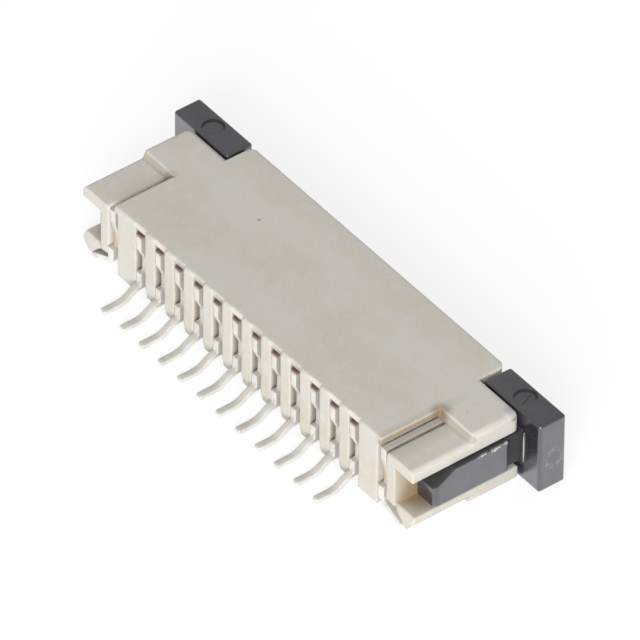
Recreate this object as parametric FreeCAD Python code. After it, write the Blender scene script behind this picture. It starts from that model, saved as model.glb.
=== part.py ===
import FreeCAD, Part
import math
import os

# Twelve-way flat-cable connector for a circuit board, right-angle, with a sliding lock.
# Sizes in mm. X runs along the row of contacts, +Y points to the side where the cable
# goes in, Z = 0 is the board surface. While drawing, Y = 0 is the rear face of the ribs;
# every piece is moved once, when it is saved, to put the origin under the middle.

os.makedirs("parts", exist_ok=True)

# Row of contacts. The pitch is the standard 1.0 mm that sets the scale of everything else.
CONTACTS = 12
PITCH = 1.0
BLADE = 0.25

# Wall thicknesses and reaches, from the cable in the middle outwards to the end of the grip.
CABLE_SIDE_GAP = 0.05
CABLE_SIDE_WALL = 0.15
WEB = 0.42
FLANGE_REACH = 0.92
ARM_PROUD = 0.17
HEAD_REACH = 0.74
HEAD_SIDE_GAP = 0.06
NOTCH_SIDE_GAP = 0.13

# Housing: heights, measured from the board or down from the top.
HEIGHT = 2.80
PLATE_THICKNESS = 0.70
RECESS_DROP = 0.27
FLOOR_THICKNESS = 0.60
SLOT_SKIN = 0.14
GROOVE_SKIN = 0.30

# Housing: depths, measured from the rear face.
RIB_DEPTH = 1.00
RECESS_DEPTH = 2.28
RECESS_SLOPE = 0.12
FLANGE_FRONT = 4.22
LEDGE_SHORT = 0.07
PLATE_OVERHANG = 0.98
BEAM_GROOVE_FRONT = 3.90

# Housing: rounded and slanted edges.
PLATE_CORNER = 0.25
FLANGE_CORNER = 0.28
FLANGE_EDGE_ROUND = 0.20
REAR_ROUND = 0.10
HOLD_SLOT_ROUND = 0.16
RIB_FOOT_LEAN = 0.08
RIB_FOOT_HEIGHT = 0.50
LEDGE_TAPER = 0.14
LEDGE_TAPER_HEIGHT = 0.22
LEDGE_REAR_TAPER = 0.30
LEDGE_REAR_TAPER_HEIGHT = 0.36
LEDGE_BEVEL_DEPTH = 0.10
LEDGE_BEVEL_HEIGHT = 0.20
LEAD_IN = 0.25

# Housing: slots for the contacts.
SLOT_WIDTH = 0.50
SLOT_BEVEL_DROP = 0.14
SLOT_BEVEL_DEPTH = 0.10
SLOT_BEVEL_WIDTH = 0.56
BEAM_GROOVE_WIDTH = 0.35
GROOVE_DEPTH = 0.18

# Contact: rear outline and leg.
CONTACT_PROUD = 0.07
CONTACT_TOP_GAP = 0.09
UPPER_FACE = 0.62
NOTCH_SLANT = 0.47
NOTCH_DEPTH = 0.22
NOTCH_LOW = 0.98
LEG_REACH = 1.51
FOOT_HEIGHT = 0.18
LEG_KNEE = 0.72
LEG_SHOULDER = 0.28
LEG_SHOULDER_TOP = 0.49
LEG_ROOT = 0.53

# Contact: forked beams.
BODY_DEPTH = 0.95
BEAM_ROOT = 0.48
BEAM_TIP = 0.32
BEAM_REACH = 3.50
BUMP_FROM_TIP = 0.32
BUMP_HEIGHT = 0.36
LOWER_BEAM_REACH = 2.90

# Hold-downs: sheet strips pushed in from the rear and bent outward under the flanges.
HOLD_SHEET = 0.27
HOLD_SET_BACK = 0.09
HOLD_GAP_INNER = 0.14
HOLD_GAP_OUTER = 0.05
HOLD_TOP_GAP = 0.03
HOLD_BEND_TOP = 0.70
HOLD_BEND_OUTER = 0.42
HOLD_BEND_INNER = 0.52
HOLD_FOOT_FLAT = 0.24
HOLD_FOOT_EDGE = 0.11
HOLD_FOOT_DEPTH = 2.10
HOLD_TANG_REACH = 0.75
HOLD_TANG_LOW = 1.10
HOLLOW_WALL = 0.36
HOLLOW_FOOT_GAP = 0.14
HOLLOW_SLOPE = 0.55
HOLLOW_SKIN = 0.10
HOLLOW_INNER_SKIN = 0.04

# Slider: one moulding of two end grips, a cross bar, a wedge tongue and two side arms.
HEAD_BOTTOM = 0.03
HEAD_BELOW_TOP = 0.01
HEAD_EDGE_ROUND = 0.11
HEAD_PROUD = 0.11
DIMPLE_RADIUS = 0.38
DIMPLE_DEPTH = 0.07
TONGUE_TIP = 1.45
TONGUE_TIP_SHARE = 0.44
WEDGE_START = 2.10
WEDGE_END = 2.60
ARM_REAR = 0.73
ARM_RAMP_HEIGHT = 0.50
ARM_RAMP_DEPTH = 0.82
ARM_CORNER = 0.12
ARM_INNER_CORNER = 0.18
HOOK_DEPTH = 0.90
CATCH_REACH = 0.22
CATCH_DEPTH = 0.55
NECK_LENGTH = 0.65
NECK_INSET = 0.17
RIDGE_WIDTH = 0.07
RIDGE_PROUD = 0.05
TRAVEL = 1.10

# Clearances between the moving slider and the housing, and room for the cable.
SIDE_GAP = 0.04
TONGUE_GAP = 0.03
TONGUE_SIDE_GAP = 0.10
STOP_GAP = 0.01
HEAD_REAR_GAP = 0.04
ARM_TOP_GAP = 0.05
ARM_BOTTOM_GAP = 0.22
CABLE_PINCH_GAP = 0.20

# Half widths that follow from the ones above, from the middle outwards.
ROW_HALF = PITCH * (CONTACTS - 1) / 2
CABLE_HALF = ROW_HALF + PITCH + CABLE_SIDE_GAP
TONGUE_HALF = CABLE_HALF - TONGUE_SIDE_GAP
HEAD_INNER = CABLE_HALF + HEAD_SIDE_GAP
PLATE_HALF = HEAD_INNER - NOTCH_SIDE_GAP
HOLD_SLOT_INNER = CABLE_HALF + CABLE_SIDE_WALL
HOLD_INNER = HOLD_SLOT_INNER + HOLD_GAP_INNER
HOLD_OUTER = HOLD_INNER + HOLD_SHEET
HOLD_SLOT_OUTER = HOLD_OUTER + HOLD_GAP_OUTER
RECESS_INNER = HOLD_INNER + 0.02
WEB_OUTER = HOLD_SLOT_OUTER + WEB
FLANGE_HALF = WEB_OUTER + FLANGE_REACH
LEDGE_FOOT_HALF = FLANGE_HALF - LEDGE_TAPER
HOLLOW_OUTER = FLANGE_HALF - HOLLOW_WALL
HOLLOW_SLOPE_START = HOLLOW_OUTER - HOLLOW_SLOPE
HOLD_FOOT_HALF = HOLLOW_OUTER - HOLLOW_FOOT_GAP
ARM_INNER = WEB_OUTER + SIDE_GAP
ARM_OUTER = FLANGE_HALF + ARM_PROUD
HEAD_OUTER = ARM_OUTER + HEAD_REACH
NECK_OUTER = ARM_OUTER - NECK_INSET
RIDGE_INNER = ARM_OUTER - RIDGE_WIDTH
CATCH_OUTER = WEB_OUTER + CATCH_REACH
ARM_RELIEF = CATCH_OUTER + SIDE_GAP

# Heights that follow.
PLATE_UNDER = HEIGHT - PLATE_THICKNESS
RECESS_TOP = HEIGHT - RECESS_DROP
SLOT_CEILING = HEIGHT - SLOT_SKIN
BEAM_GROOVE_TOP = HEIGHT - GROOVE_SKIN
CONTACT_TOP = SLOT_CEILING - CONTACT_TOP_GAP
NOTCH_SLANT_TOP = CONTACT_TOP - UPPER_FACE
NOTCH_HIGH = NOTCH_SLANT_TOP - NOTCH_SLANT
GROOVE_FLOOR = FLOOR_THICKNESS - GROOVE_DEPTH
BEAM_ROOT_BOTTOM = PLATE_UNDER - 0.20
BEAM_TIP_BOTTOM = PLATE_UNDER - 0.29
BUMP_BOTTOM = BEAM_TIP_BOTTOM - BUMP_HEIGHT
BAR_TOP = BUMP_BOTTOM - CABLE_PINCH_GAP
TONGUE_BOTTOM = FLOOR_THICKNESS + TONGUE_GAP
TONGUE_TIP_TOP = TONGUE_BOTTOM + TONGUE_TIP_SHARE * (BAR_TOP - TONGUE_BOTTOM)
HOLD_TOP = RECESS_TOP - HOLD_TOP_GAP
HOLD_TANG_HIGH = PLATE_UNDER - 0.20
HOLLOW_TOP = FLOOR_THICKNESS - HOLLOW_SKIN
HOLLOW_INNER_TOP = FLOOR_THICKNESS - HOLLOW_INNER_SKIN
HEAD_TOP = HEIGHT - HEAD_BELOW_TOP
ARM_LOW = FLOOR_THICKNESS + ARM_BOTTOM_GAP
ARM_HIGH = PLATE_UNDER - ARM_TOP_GAP
ARM_RAMP_LOW = ARM_HIGH - ARM_RAMP_HEIGHT

# Depths that follow.
REAR_FACE = -CONTACT_PROUD
HOLD_REAR = REAR_FACE + HOLD_SET_BACK
LEG_TIP = -LEG_REACH
PLATE_FRONT = FLANGE_FRONT + PLATE_OVERHANG
LEDGE_FRONT = FLANGE_FRONT - LEDGE_SHORT
HEAD_REAR = FLANGE_FRONT + HEAD_REAR_GAP
HEAD_FRONT = PLATE_FRONT + HEAD_PROUD
BUMP_AT = BEAM_REACH - BUMP_FROM_TIP
ARM_RAMP_END = ARM_REAR + ARM_RAMP_DEPTH
ARM_FRONT = HEAD_REAR - NECK_LENGTH
HOOK_FRONT = ARM_REAR + HOOK_DEPTH
CATCH_REAR = HOOK_FRONT + TRAVEL + STOP_GAP
CATCH_FRONT = CATCH_REAR + CATCH_DEPTH
ORIGIN_Y = (LEG_TIP + HEAD_FRONT) / 2


def corner_arc(before, corner, after, radius):
    """Tangent points and middle point of the arc that rounds one corner."""
    to_before = (before - corner).normalize()
    to_after = (after - corner).normalize()
    half = to_before.getAngle(to_after) / 2
    bisector = (to_before + to_after).normalize()
    start = corner + to_before * (radius / math.tan(half))
    end = corner + to_after * (radius / math.tan(half))
    middle = corner + bisector * (radius / math.sin(half) - radius)
    return start, middle, end


def outline_face(points, place):
    """Flat face bounded by straight lines, each corner rounded by its own radius."""
    spots = [place(a, b) for a, b, radius in points]
    joints = []
    for i, (a, b, radius) in enumerate(points):
        if radius == 0:
            joints.append((spots[i], None, spots[i]))
        else:
            joints.append(corner_arc(spots[i - 1], spots[i], spots[(i + 1) % len(spots)], radius))
    edges = []
    for i, (start, middle, end) in enumerate(joints):
        if middle is not None:
            edges.append(Part.Arc(start, middle, end).toShape())
        following = joints[(i + 1) % len(joints)][0]
        if end.distanceToPoint(following) > 0.0001:
            edges.append(Part.makeLine(end, following))
    return Part.Face(Part.Wire(edges))


def along_x(points, x0, x1):
    """Solid made by drawing in the Y-Z plane and stretching from x0 to x1."""
    face = outline_face(points, lambda y, z: FreeCAD.Vector(x0, y, z))
    return face.extrude(FreeCAD.Vector(x1 - x0, 0, 0))


def along_y(points, y0, y1):
    """Solid made by drawing in the X-Z plane and stretching from y0 to y1."""
    face = outline_face(points, lambda x, z: FreeCAD.Vector(x, y0, z))
    return face.extrude(FreeCAD.Vector(0, y1 - y0, 0))


def along_z(points, z0, z1):
    """Solid made by drawing in the X-Y plane and stretching from z0 to z1."""
    face = outline_face(points, lambda x, y: FreeCAD.Vector(x, y, z0))
    return face.extrude(FreeCAD.Vector(0, 0, z1 - z0))


def block(x0, x1, y0, y1, z0, z1):
    """Plain box between two corners."""
    return Part.makeBox(x1 - x0, y1 - y0, z1 - z0, FreeCAD.Vector(x0, y0, z0))


def mirrored(shape):
    """Copy of a right-hand shape on the left of the connector."""
    return shape.mirror(FreeCAD.Vector(0, 0, 0), FreeCAD.Vector(1, 0, 0))


def both_ends(shape):
    """The right-hand shape together with its left-hand copy."""
    return [shape, mirrored(shape)]


def save(shape, node):
    """Move one solid to the shared origin and write it under its node name."""
    shape = shape.removeSplitter()
    if len(shape.Solids) != 1:
        raise ValueError(node + " is not a single solid")
    solid = shape.Solids[0]
    solid.translate(FreeCAD.Vector(0, -ORIGIN_Y, 0))
    solid.exportStep("parts/" + node + ".step")


# Housing: top plate with its two end flanges, seen from above as one T-shaped outline.
top_outline = [
    (FLANGE_HALF, 0, 0),
    (FLANGE_HALF, FLANGE_FRONT, FLANGE_CORNER),
    (PLATE_HALF, FLANGE_FRONT, 0),
    (PLATE_HALF, PLATE_FRONT, PLATE_CORNER),
    (-PLATE_HALF, PLATE_FRONT, PLATE_CORNER),
    (-PLATE_HALF, FLANGE_FRONT, 0),
    (-FLANGE_HALF, FLANGE_FRONT, FLANGE_CORNER),
    (-FLANGE_HALF, 0, 0),
]
top_plate = along_z(top_outline, PLATE_UNDER, HEIGHT)

# The top plate steps down over the rear half of each flange, with a sloping step.
recess = along_x([
    (-1, RECESS_TOP, 0),
    (RECESS_DEPTH, RECESS_TOP, 0.05),
    (RECESS_DEPTH + RECESS_SLOPE, HEIGHT, 0),
    (RECESS_DEPTH + RECESS_SLOPE, HEIGHT + 1, 0),
    (-1, HEIGHT + 1, 0),
], RECESS_INNER, FLANGE_HALF + 1)
top_plate = top_plate.cut(both_ends(recess))


def flange_edge(edge):
    """True for the outer top edges of a flange, straight or round the front corner."""
    box = edge.BoundBox
    level = abs(box.ZMax - box.ZMin) < 0.001
    at_top = abs(box.ZMax - HEIGHT) < 0.001 or abs(box.ZMax - RECESS_TOP) < 0.001
    outside = max(abs(box.XMin), abs(box.XMax)) > FLANGE_HALF - 0.001
    lengthwise = min(abs(box.XMin), abs(box.XMax)) > FLANGE_HALF - FLANGE_CORNER - 0.001
    sloping_step = abs(box.ZMax - HEIGHT) < 0.001 and abs(box.ZMin - RECESS_TOP) < 0.06
    return (level and at_top or sloping_step) and outside and lengthwise


def rear_edge(edge):
    """True for the long rear edge of the top face."""
    box = edge.BoundBox
    return box.YMax < 0.001 and box.ZMin > HEIGHT - 0.001 and box.XLength > RECESS_INNER


top_plate = top_plate.makeFillet(FLANGE_EDGE_ROUND, [e for e in top_plate.Edges if flange_edge(e)])
top_plate = top_plate.makeFillet(REAR_ROUND, [e for e in top_plate.Edges if rear_edge(e)])

# Housing: middle block between the two side channels, and the ledges that close them below.
middle = block(-WEB_OUTER, WEB_OUTER, 0, FLANGE_FRONT, 0, PLATE_UNDER)
ledge_outline = [
    (0, FLOOR_THICKNESS, 0),
    (FLANGE_HALF, FLOOR_THICKNESS, 0.05),
    (FLANGE_HALF, LEDGE_TAPER_HEIGHT, 0.05),
    (LEDGE_FOOT_HALF, 0, 0),
    (0, 0, 0),
]
ledge = along_y(ledge_outline, 0, LEDGE_FRONT)
ledge_bevel = along_x([
    (-1, FLOOR_THICKNESS + 1, 0),
    (-1, FLOOR_THICKNESS - LEDGE_BEVEL_HEIGHT, 0),
    (0, FLOOR_THICKNESS - LEDGE_BEVEL_HEIGHT, 0),
    (LEDGE_BEVEL_DEPTH, FLOOR_THICKNESS, 0),
    (LEDGE_BEVEL_DEPTH, FLOOR_THICKNESS + 1, 0),
], WEB_OUTER, FLANGE_HALF + 1)
# The rear half of each ledge, beside the recess, slants in further towards the board.
ledge_rear_taper = along_y([
    (FLANGE_HALF - LEDGE_REAR_TAPER, 0, 0),
    (FLANGE_HALF, LEDGE_REAR_TAPER_HEIGHT, 0),
    (FLANGE_HALF + 1, LEDGE_REAR_TAPER_HEIGHT, 0),
    (FLANGE_HALF + 1, -1, 0),
    (FLANGE_HALF - LEDGE_REAR_TAPER, -1, 0),
], -1, RECESS_DEPTH)
ledge = ledge.cut([ledge_bevel, ledge_rear_taper])

# Housing: a catch in each channel stops the hook of the slider arm at the end of its travel.
catch = along_z([
    (WEB_OUTER, CATCH_REAR, 0),
    (CATCH_OUTER, CATCH_REAR, 0),
    (CATCH_OUTER, CATCH_REAR + 0.20, 0),
    (WEB_OUTER, CATCH_FRONT, 0),
], FLOOR_THICKNESS, PLATE_UNDER)

housing = middle.fuse([top_plate] + both_ends(ledge) + both_ends(catch))

# Housing: slight lean of the ribs towards the board, inside the two end ribs.
rib_foot = along_x([
    (-1, RIB_FOOT_HEIGHT, 0),
    (-1, -1, 0),
    (RIB_FOOT_LEAN, -1, 0),
    (RIB_FOOT_LEAN, 0, 0),
    (0, RIB_FOOT_HEIGHT, 0),
], -ROW_HALF, ROW_HALF)

# Housing: the space the cable slides into, with slanted lead-in edges at its mouth.
cavity = block(-CABLE_HALF, CABLE_HALF, RIB_DEPTH, PLATE_FRONT + 1, FLOOR_THICKNESS, PLATE_UNDER)
mouth = along_x([
    (PLATE_FRONT - LEAD_IN, PLATE_UNDER, 0),
    (PLATE_FRONT + 1, PLATE_UNDER, 0),
    (PLATE_FRONT + 1, PLATE_UNDER + LEAD_IN, 0),
    (PLATE_FRONT, PLATE_UNDER + LEAD_IN, 0),
], -PLATE_HALF - 1, PLATE_HALF + 1)
floor_edge = along_x([
    (FLANGE_FRONT - 0.15, FLOOR_THICKNESS, 0),
    (FLANGE_FRONT + 1, FLOOR_THICKNESS, 0),
    (FLANGE_FRONT + 1, FLOOR_THICKNESS - 0.15, 0),
    (FLANGE_FRONT, FLOOR_THICKNESS - 0.15, 0),
], -CABLE_HALF, CABLE_HALF)
cuts = [rib_foot, cavity, mouth, floor_edge]

# Housing: one open slot per contact at the rear with a bevelled top, a roof groove for the
# spring beam and a tight floor groove that holds the lower beam.
slot_bevel = along_x([
    (-1, HEIGHT + 1, 0),
    (-1, HEIGHT - SLOT_BEVEL_DROP, 0),
    (0, HEIGHT - SLOT_BEVEL_DROP, 0),
    (SLOT_BEVEL_DEPTH, HEIGHT, 0),
    (SLOT_BEVEL_DEPTH, HEIGHT + 1, 0),
], -SLOT_BEVEL_WIDTH / 2, SLOT_BEVEL_WIDTH / 2)
contact_x = [-ROW_HALF + PITCH * i for i in range(CONTACTS)]
for x in contact_x:
    slot = block(x - SLOT_WIDTH / 2, x + SLOT_WIDTH / 2, -1, RIB_DEPTH, -1, SLOT_CEILING)
    roof = block(x - BEAM_GROOVE_WIDTH / 2, x + BEAM_GROOVE_WIDTH / 2, RIB_DEPTH,
                 BEAM_GROOVE_FRONT, PLATE_UNDER, BEAM_GROOVE_TOP)
    floor = block(x - BLADE / 2, x + BLADE / 2, RIB_DEPTH, LOWER_BEAM_REACH + 0.05,
                  GROOVE_FLOOR, FLOOR_THICKNESS)
    bevel = slot_bevel.copy()
    bevel.translate(FreeCAD.Vector(x, 0, 0))
    cuts += [slot, roof, floor, bevel]

# Housing: slot for the upright part of each hold-down, its tight inner pocket and the
# hollow under the ledge where the foot lies.
hold_slot = along_y([
    (HOLD_SLOT_INNER, -1, 0),
    (HOLD_SLOT_OUTER, -1, 0),
    (HOLD_SLOT_OUTER, RECESS_TOP, HOLD_SLOT_ROUND),
    (FLANGE_HALF + 1, RECESS_TOP, 0),
    (FLANGE_HALF + 1, HEIGHT, 0),
    (RECESS_INNER, HEIGHT, 0),
    (RECESS_INNER, RECESS_TOP, 0),
    (HOLD_SLOT_INNER, RECESS_TOP, 0),
], -1, RECESS_DEPTH)
hold_pocket = block(HOLD_INNER, HOLD_OUTER, RECESS_DEPTH, RECESS_DEPTH + HOLD_TANG_REACH + 0.05,
                    HOLD_TANG_LOW, HOLD_TANG_HIGH)
foot_hollow = along_y([
    (HOLD_SLOT_INNER, -1, 0),
    (HOLLOW_OUTER, -1, 0),
    (HOLLOW_OUTER, 0, 0),
    (HOLLOW_SLOPE_START, HOLLOW_TOP, 0.10),
    (HOLD_SLOT_OUTER, HOLLOW_INNER_TOP, 0),
    (HOLD_SLOT_INNER, HOLLOW_INNER_TOP, 0),
], -1, RECESS_DEPTH)
cuts += both_ends(hold_slot) + both_ends(hold_pocket) + both_ends(foot_hollow)

housing = housing.cut(cuts)
save(housing, "housing")

# Contact: a flat blade cut from strip. The upper beam springs on to the cable, the lower
# beam sits in the housing floor and the leg is soldered to the board behind.
contact_outline = [
    (LEG_TIP, 0, 0.05),
    (LEG_TIP, FOOT_HEIGHT, 0.08),
    (-LEG_KNEE, FOOT_HEIGHT, 0.85),
    (-LEG_SHOULDER, LEG_SHOULDER_TOP, 0.75),
    (REAR_FACE, LEG_ROOT, 0.04),
    (REAR_FACE, NOTCH_LOW, 0.03),
    (REAR_FACE + NOTCH_DEPTH, NOTCH_LOW, 0.04),
    (REAR_FACE + NOTCH_DEPTH, NOTCH_HIGH, 0.05),
    (REAR_FACE, NOTCH_SLANT_TOP, 0.05),
    (REAR_FACE, CONTACT_TOP, 0.04),
    (BODY_DEPTH, CONTACT_TOP, 0.03),
    (BODY_DEPTH, BEAM_ROOT_BOTTOM + BEAM_ROOT, 0.05),
    (BEAM_REACH, BEAM_TIP_BOTTOM + BEAM_TIP, 0.08),
    (BEAM_REACH, BEAM_TIP_BOTTOM, 0.05),
    (BUMP_AT + 0.10, BUMP_BOTTOM, 0.06),
    (BUMP_AT - 0.10, BUMP_BOTTOM, 0.06),
    (BUMP_AT - 0.30, BEAM_TIP_BOTTOM, 0.05),
    (BODY_DEPTH, BEAM_ROOT_BOTTOM, 0.15),
    (BODY_DEPTH, FLOOR_THICKNESS, 0.15),
    (LOWER_BEAM_REACH, FLOOR_THICKNESS, 0.03),
    (LOWER_BEAM_REACH, GROOVE_FLOOR, 0.03),
    (0.40, GROOVE_FLOOR, 0.30),
    (0.05 - LEG_SHOULDER, LEG_SHOULDER_TOP - FOOT_HEIGHT, 0.50),
    (0.06 - LEG_KNEE, 0, 0.60),
]
blade = along_x(contact_outline, -BLADE / 2, BLADE / 2)
for number, x in enumerate(contact_x, 1):
    contact = blade.copy()
    contact.translate(FreeCAD.Vector(x, 0, 0))
    save(contact, "contact_%02d" % number)

# Hold-down: upright strip with the same stepped rear edge as the contacts, a tang pressed
# into the housing in front, and a foot bent outward below.
upright = along_x([
    (REAR_FACE, HOLD_BEND_TOP, 0),
    (REAR_FACE, NOTCH_LOW, 0.03),
    (REAR_FACE + NOTCH_DEPTH, NOTCH_LOW, 0.04),
    (REAR_FACE + NOTCH_DEPTH, NOTCH_HIGH, 0.05),
    (HOLD_REAR, NOTCH_SLANT_TOP + HOLD_SET_BACK, 0.05),
    (HOLD_REAR, HOLD_TOP, 0.03),
    (RECESS_DEPTH, HOLD_TOP, 0.03),
    (RECESS_DEPTH, HOLD_TANG_HIGH, 0),
    (RECESS_DEPTH + HOLD_TANG_REACH, HOLD_TANG_HIGH, 0.08),
    (RECESS_DEPTH + HOLD_TANG_REACH, HOLD_TANG_LOW, 0.08),
    (RECESS_DEPTH, HOLD_TANG_LOW, 0),
    (HOLD_FOOT_DEPTH, NOTCH_LOW, 0),
    (HOLD_FOOT_DEPTH, HOLD_BEND_TOP, 0),
], HOLD_INNER, HOLD_OUTER)
bent_foot = along_y([
    (HOLD_INNER, HOLD_BEND_OUTER, 0.25),
    (HOLD_INNER, HOLD_BEND_TOP, 0),
    (HOLD_OUTER, HOLD_BEND_TOP, 0),
    (HOLD_OUTER, HOLD_BEND_INNER, 0.10),
    (HOLD_FOOT_HALF, HOLD_FOOT_EDGE, 0.04),
    (HOLD_FOOT_HALF, 0, 0.03),
    (HOLD_FOOT_HALF - HOLD_FOOT_FLAT, 0, 0.15),
], REAR_FACE, HOLD_FOOT_DEPTH)
hold_down = upright.fuse(bent_foot)
save(hold_down, "right_hold_down")
save(mirrored(hold_down), "left_hold_down")

# Slider: end grip with softened edges and a shallow round dimple on top.
head = block(HEAD_INNER, HEAD_OUTER, HEAD_REAR, HEAD_FRONT, HEAD_BOTTOM, HEAD_TOP)
head = head.makeFillet(HEAD_EDGE_ROUND, head.Edges)
dimple = Part.makeCylinder(
    DIMPLE_RADIUS,
    1,
    FreeCAD.Vector((HEAD_INNER + HEAD_OUTER) / 2, (HEAD_REAR + HEAD_FRONT) / 2, HEAD_TOP - DIMPLE_DEPTH),
)
head = head.cut(dimple)

# Slider: side arm. Its rear end is a hook that meets the catch in the housing channel.
arm_outline = [
    (ARM_REAR, ARM_LOW, 0),
    (ARM_REAR, ARM_RAMP_LOW, 0.05),
    (ARM_RAMP_END, ARM_HIGH, 0.10),
    (HEAD_REAR + 0.3, ARM_HIGH, 0),
    (HEAD_REAR + 0.3, ARM_LOW, 0),
]
arm = along_x(arm_outline, ARM_INNER, ARM_OUTER)
relief = block(ARM_INNER - 1, ARM_RELIEF, HOOK_FRONT, HEAD_REAR, ARM_LOW - 1, ARM_HIGH + 1)
neck = block(NECK_OUTER, ARM_OUTER + 1, ARM_FRONT, HEAD_REAR, ARM_LOW - 1, ARM_HIGH + 1)
rear_corner = along_z([
    (ARM_OUTER - ARM_CORNER, ARM_REAR, 0),
    (ARM_OUTER - ARM_CORNER, ARM_REAR - 1, 0),
    (ARM_OUTER + 1, ARM_REAR - 1, 0),
    (ARM_OUTER + 1, ARM_REAR + ARM_CORNER, 0),
    (ARM_OUTER, ARM_REAR + ARM_CORNER, 0),
], ARM_LOW - 1, ARM_HIGH + 1)
inner_corner = along_z([
    (ARM_INNER + ARM_INNER_CORNER, ARM_REAR, 0),
    (ARM_INNER, ARM_REAR + ARM_INNER_CORNER, 0),
    (ARM_INNER - 1, ARM_REAR + ARM_INNER_CORNER, 0),
    (ARM_INNER - 1, ARM_REAR - 1, 0),
    (ARM_INNER + ARM_INNER_CORNER, ARM_REAR - 1, 0),
], ARM_LOW - 1, ARM_HIGH + 1)
arm = arm.cut([relief, neck, rear_corner, inner_corner])
# A thin ridge stands along the outer side where the neck meets the grip.
ridge = block(RIDGE_INNER, ARM_OUTER, HEAD_REAR - RIDGE_PROUD, HEAD_REAR + 0.3, ARM_LOW, ARM_HIGH)

# Slider: cross bar under the plate and the wedge tongue that lifts the cable to the contacts.
bar_and_tongue = along_x([
    (TONGUE_TIP, TONGUE_BOTTOM, 0.05),
    (TONGUE_TIP, TONGUE_TIP_TOP, 0.10),
    (WEDGE_START, TONGUE_TIP_TOP, 0),
    (WEDGE_END, BAR_TOP, 0.08),
    (HEAD_FRONT - LEAD_IN, BAR_TOP, 0.05),
    (HEAD_FRONT, BAR_TOP - LEAD_IN, 0.05),
    (HEAD_FRONT, HEAD_BOTTOM, 0.05),
    (HEAD_REAR, HEAD_BOTTOM, 0.05),
    (HEAD_REAR, TONGUE_BOTTOM, 0),
], -TONGUE_HALF, TONGUE_HALF)
bar_end = along_x([
    (HEAD_REAR, HEAD_BOTTOM, 0.05),
    (HEAD_REAR, BAR_TOP, 0),
    (HEAD_FRONT - LEAD_IN, BAR_TOP, 0.05),
    (HEAD_FRONT, BAR_TOP - LEAD_IN, 0.05),
    (HEAD_FRONT, HEAD_BOTTOM, 0.05),
], TONGUE_HALF - 0.01, HEAD_INNER + 0.2)

half_slider = head.fuse([arm, ridge, bar_end])
slider = bar_and_tongue.fuse(both_ends(half_slider))
save(slider, "slider")
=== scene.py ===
import math

import bmesh
import bpy
from mathutils import Matrix, Vector


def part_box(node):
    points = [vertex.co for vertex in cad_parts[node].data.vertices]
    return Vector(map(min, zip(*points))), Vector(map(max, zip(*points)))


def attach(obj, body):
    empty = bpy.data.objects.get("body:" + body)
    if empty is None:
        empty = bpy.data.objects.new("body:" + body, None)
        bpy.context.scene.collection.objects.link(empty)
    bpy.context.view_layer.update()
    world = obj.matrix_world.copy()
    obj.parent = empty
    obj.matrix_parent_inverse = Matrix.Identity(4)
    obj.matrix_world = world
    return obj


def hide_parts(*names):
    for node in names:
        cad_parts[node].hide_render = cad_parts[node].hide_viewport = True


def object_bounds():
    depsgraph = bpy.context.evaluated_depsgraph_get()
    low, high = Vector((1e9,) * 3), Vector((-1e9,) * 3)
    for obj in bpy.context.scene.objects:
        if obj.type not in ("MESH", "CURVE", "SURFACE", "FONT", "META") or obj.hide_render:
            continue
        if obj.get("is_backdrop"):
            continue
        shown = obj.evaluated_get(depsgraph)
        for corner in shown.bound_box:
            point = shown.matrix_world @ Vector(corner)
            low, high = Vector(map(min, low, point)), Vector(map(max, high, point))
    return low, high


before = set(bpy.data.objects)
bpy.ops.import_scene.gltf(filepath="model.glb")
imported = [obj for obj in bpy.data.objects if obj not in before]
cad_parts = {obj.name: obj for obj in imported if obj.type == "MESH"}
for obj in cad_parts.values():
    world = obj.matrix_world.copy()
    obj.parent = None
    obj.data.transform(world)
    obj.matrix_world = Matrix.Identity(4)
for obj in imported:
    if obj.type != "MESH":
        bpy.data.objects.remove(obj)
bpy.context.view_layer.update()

# Housing. One beige moulding of glass-filled liquid-crystal polymer that holds
# every contact. It is injection moulded: crisp walls, edges rounded by a few
# hundredths of a millimetre, and slightly see-through where it is thin.

# Sizes are in millimetres, and in metres once they are multiplied by MM.
MM = 0.001
SHARP = math.radians(35)
FLAT = math.radians(0.8)
MERGE_DISTANCE = 0.0002
# The rounding that a bevel weight of 1 stands for; no edge here has more than half of it.
FULL_ROUNDING = 0.10
HOUSING_ROUNDING = 0.035
FLANGE_ROUNDING = 0.05
FLANGE_END_FROM = 8.10
# A rounding takes at most this share of the edge beside it.
SHARE_OF_EDGE = 0.42
# Two edges run on in one line where the cosine of their turn is past this.
RUNS_ON = 0.87


def linear(code):
    """An sRGB hex colour as the linear values that shaders work in."""
    parts = [int(code[i:i + 2], 16) / 255 for i in (1, 3, 5)]
    return tuple(p / 12.92 if p <= 0.04045 else ((p + 0.055) / 1.055) ** 2.4 for p in parts) + (1.0,)


def add_node(tree, kind, inputs=None, **settings):
    """Adds a node; inputs maps a socket's name or number to a constant or to another node's socket.

    A Map Range node's 0 is what it reads, 1 and 2 are where its ramp starts and ends, and 3 and 4
    are what it gives there. A Mix node's 0 is its factor, and 6 and 7 are its two colours.
    """
    node = tree.nodes.new(kind)
    for name, value in settings.items():
        setattr(node, name, value)
    for key, value in (inputs or {}).items():
        if isinstance(value, bpy.types.NodeSocket):
            tree.links.new(value, node.inputs[key])
        else:
            node.inputs[key].default_value = value
    return node


def blank_material(name):
    material = bpy.data.materials.new(name)
    material.use_nodes = True
    material.node_tree.nodes.clear()
    return material


def link_object(name, data):
    piece = bpy.data.objects.new(name, data)
    bpy.context.scene.collection.objects.link(piece)
    return piece


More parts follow.
